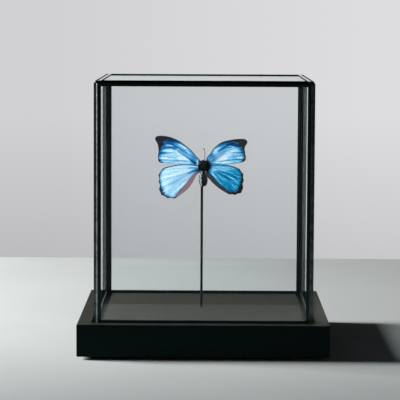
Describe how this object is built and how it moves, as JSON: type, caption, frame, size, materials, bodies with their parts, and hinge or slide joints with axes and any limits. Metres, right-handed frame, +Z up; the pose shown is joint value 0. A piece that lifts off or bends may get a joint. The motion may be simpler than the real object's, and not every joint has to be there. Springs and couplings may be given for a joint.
{
  "type": "framed butterfly in glass display case",
  "caption": "Blue morpho butterfly with spread wings on a thin rod, in a black-framed square glass case on a black plinth.",
  "frame": {"origin": "middle of the underside, on the surface that the felt pads stand on", "axes": "+Z up along the rod, which is the longest extent; the specimen's upper side faces -Y, the front; +X to the viewer's right"},
  "size_m": [0.25, 0.25, 0.275],
  "materials": {
    "black_lacquer": "satin black lacquer over wood",
    "dark_felt": "dark wool felt",
    "black_metal": "black patinated came, semi-gloss",
    "clear_glass": "clear thin float glass",
    "rod_steel": "blackened steel rod",
    "insect_body": "dry dark fur and chitin with pale greenish hairs",
    "morpho_wing": "iridescent blue wing scales with a brown-black border",
    "insect_limb": "dry brown chitin"
  },
  "bodies": {
    "root": {"plinth": "black_lacquer", "stand_rod": "rod_steel", "felt_pad_front_left": "dark_felt", "felt_pad_front_right": "dark_felt", "felt_pad_back_left": "dark_felt", "felt_pad_back_right": "dark_felt", "post_front_left": "black_metal", "post_front_right": "black_metal", "post_back_left": "black_metal", "post_back_right": "black_metal", "top_rail_front": "black_metal", "top_rail_right": "black_metal", "top_rail_back": "black_metal", "top_rail_left": "black_metal", "bottom_rail_front": "black_metal", "bottom_rail_right": "black_metal", "bottom_rail_back": "black_metal", "bottom_rail_left": "black_metal", "glass_pane_front": "clear_glass", "glass_pane_right": "clear_glass", "glass_pane_back": "clear_glass", "glass_pane_left": "clear_glass", "glass_pane_top": "clear_glass", "butterfly_body": "insect_body", "forewing_left": "morpho_wing", "forewing_right": "morpho_wing", "hindwing_left": "morpho_wing", "hindwing_right": "morpho_wing", "antenna_left": "insect_limb", "antenna_right": "insect_limb", "middle_leg_left": "insect_limb", "middle_leg_right": "insect_limb", "hind_leg_left": "insect_limb", "hind_leg_right": "insect_limb"}
  },
  "joints": []
}
